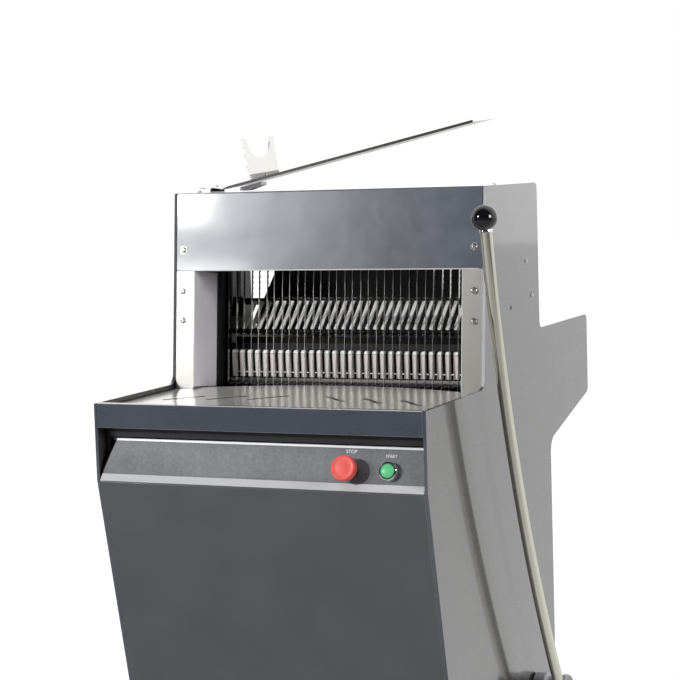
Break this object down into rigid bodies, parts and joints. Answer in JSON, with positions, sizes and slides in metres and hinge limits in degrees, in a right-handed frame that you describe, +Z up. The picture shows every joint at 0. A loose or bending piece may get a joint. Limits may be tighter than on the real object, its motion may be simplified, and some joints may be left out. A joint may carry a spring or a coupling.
{
  "type": "bread slicing machine",
  "caption": "Floor standing bread slicer: two frames of blades in a leaning tower, a long side lever that feeds the loaf, a bagging scoop on top and a crumb drawer below.",
  "frame": {"origin": "middle of the bounding box's footprint, on the floor under the feet", "axes": "+X to the right of a person at the outfeed table, +Y to the rear, where the loaf goes in, +Z up"},
  "size_m": [0.6432, 0.8804, 1.3229],
  "materials": {
    "painted_panel": "glossy dark blue grey",
    "painted_frame": "semi gloss",
    "painted_control": "glossy mid grey",
    "motor_paint": "semi gloss",
    "stainless": "fine brushed",
    "polished_steel": "polished",
    "blade_steel": "bright",
    "machined_steel": "turned and milled",
    "cast_iron": "as cast",
    "black_rubber": "matt",
    "black_plastic": "glossy",
    "dark_flap": "satin",
    "red_plastic": "glossy",
    "green_plastic": "glossy"
  },
  "bodies": {
    "machine_frame": {"top_front_panel": "painted_panel", "column_right": "stainless", "column_left": "stainless", "hold_down_rod_right": "polished_steel", "hold_down_rod_left": "polished_steel", "side_panel_right": "painted_panel", "side_panel_left": "painted_panel", "frame_plate_right": "painted_frame", "frame_plate_left": "painted_frame", "apron": "painted_panel", "control_panel": "painted_control", "front_cover": "painted_panel", "outfeed_table": "polished_steel", "infeed_table": "stainless", "front_cross_bar": "machined_steel", "rear_cross_bar": "machined_steel", "pusher_rail_right": "polished_steel", "pusher_rail_left": "polished_steel", "rear_cover": "painted_panel", "tower_top_cover": "painted_panel", "tower_rear_cover": "painted_panel", "upper_guide_right": "cast_iron", "upper_guide_left": "cast_iron", "lower_guide_right": "cast_iron", "lower_guide_left": "cast_iron", "bearing_block": "cast_iron", "drive_plate": "painted_frame", "motor": "motor_paint", "drive_belt": "black_rubber", "base_pan": "painted_frame", "foot_front_left": "black_rubber", "foot_front_right": "black_rubber", "foot_rear_left": "black_rubber", "foot_rear_right": "black_rubber", "stop_collar": "black_plastic", "start_bezel": "stainless"},
    "lever": {"lever": "stainless", "lever_knob": "black_plastic", "lever_shaft": "machined_steel", "swing_arm_left": "machined_steel", "swing_arm_right": "machined_steel"},
    "pusher": {"pusher_comb": "polished_steel", "pusher_back_plate": "painted_frame", "carriage_left": "painted_frame", "carriage_right": "painted_frame"},
    "blades_a": {"blade_frame_a": "blade_steel", "connecting_rod_a": "machined_steel"},
    "blades_b": {"blade_frame_b": "blade_steel", "connecting_rod_b": "machined_steel"},
    "crank": {"crankshaft": "machined_steel", "crank_pulley": "cast_iron"},
    "motor_rotor": {"motor_pulley": "machined_steel"},
    "hold_down": {"hold_down_comb": "polished_steel"},
    "flap": {"infeed_flap": "dark_flap"},
    "drawer": {"crumb_drawer": "painted_panel", "drawer_handle": "stainless"},
    "stop_button": {"stop_cap": "red_plastic"},
    "start_button": {"start_cap": "green_plastic"},
    "scoop": {"scoop_tray": "stainless", "scoop_fork": "stainless"}
  },
  "joints": [
    {"name": "lever_swing", "type": "hinge", "parent": "machine_frame", "child": "lever", "pos_m": [-0.03413, 0.0742, 0.32], "axis": [-1, 0, 0], "range_deg": [0, 38.1]},
    {"name": "pusher_slide", "type": "slide", "parent": "machine_frame", "child": "pusher", "axis": [0, 1, 0], "range_m": [0, 0.34]},
    {"name": "blades_a_stroke", "type": "slide", "parent": "machine_frame", "child": "blades_a", "axis": [0, 0.1025, 0.9947], "range_m": [-0.0136, 0.0136]},
    {"name": "blades_b_stroke", "type": "slide", "parent": "machine_frame", "child": "blades_b", "axis": [0, 0.1025, 0.9947], "range_m": [-0.0136, 0.0136]},
    {"name": "crank_turn", "type": "hinge", "parent": "machine_frame", "child": "crank", "pos_m": [-0.03413, -0.07774, 0.59269], "axis": [1, 0, 0], "continuous": true},
    {"name": "motor_turn", "type": "hinge", "parent": "machine_frame", "child": "motor_rotor", "pos_m": [-0.03413, 0.1072, 0.58669], "axis": [1, 0, 0], "continuous": true},
    {"name": "hold_down_lift", "type": "slide", "parent": "machine_frame", "child": "hold_down", "axis": [0, 0.1025, 0.9947], "range_m": [0, 0.11]},
    {"name": "flap_swing", "type": "hinge", "parent": "machine_frame", "child": "flap", "pos_m": [-0.03413, 0.1392, 1.07], "axis": [-1, 0, 0], "range_deg": [0, 36]},
    {"name": "drawer_slide", "type": "slide", "parent": "machine_frame", "child": "drawer", "axis": [0, -1, 0], "range_m": [0, 0.33]},
    {"name": "stop_press", "type": "slide", "parent": "machine_frame", "child": "stop_button", "axis": [0, 0.9537, -0.3007], "range_m": [0, 0.006], "stiffness_N_per_m": 800, "springref_m": -0.003},
    {"name": "start_press", "type": "slide", "parent": "machine_frame", "child": "start_button", "axis": [0, 0.9537, -0.3007], "range_m": [0, 0.003], "stiffness_N_per_m": 600, "springref_m": -0.002},
    {"name": "scoop_swivel", "type": "hinge", "parent": "machine_frame", "child": "scoop", "pos_m": [-0.27863, -0.0398, 1.213], "axis": [0, 0, -1], "range_deg": [0, 90]}
  ],
  "couplings": [
    {"joint": "pusher_slide", "follows": "lever_swing", "m_per_rad": 0.5112},
    {"joint": "blades_b_stroke", "follows": "blades_a_stroke", "ratio": -1},
    {"joint": "motor_turn", "follows": "crank_turn", "ratio": 2}
  ]
}
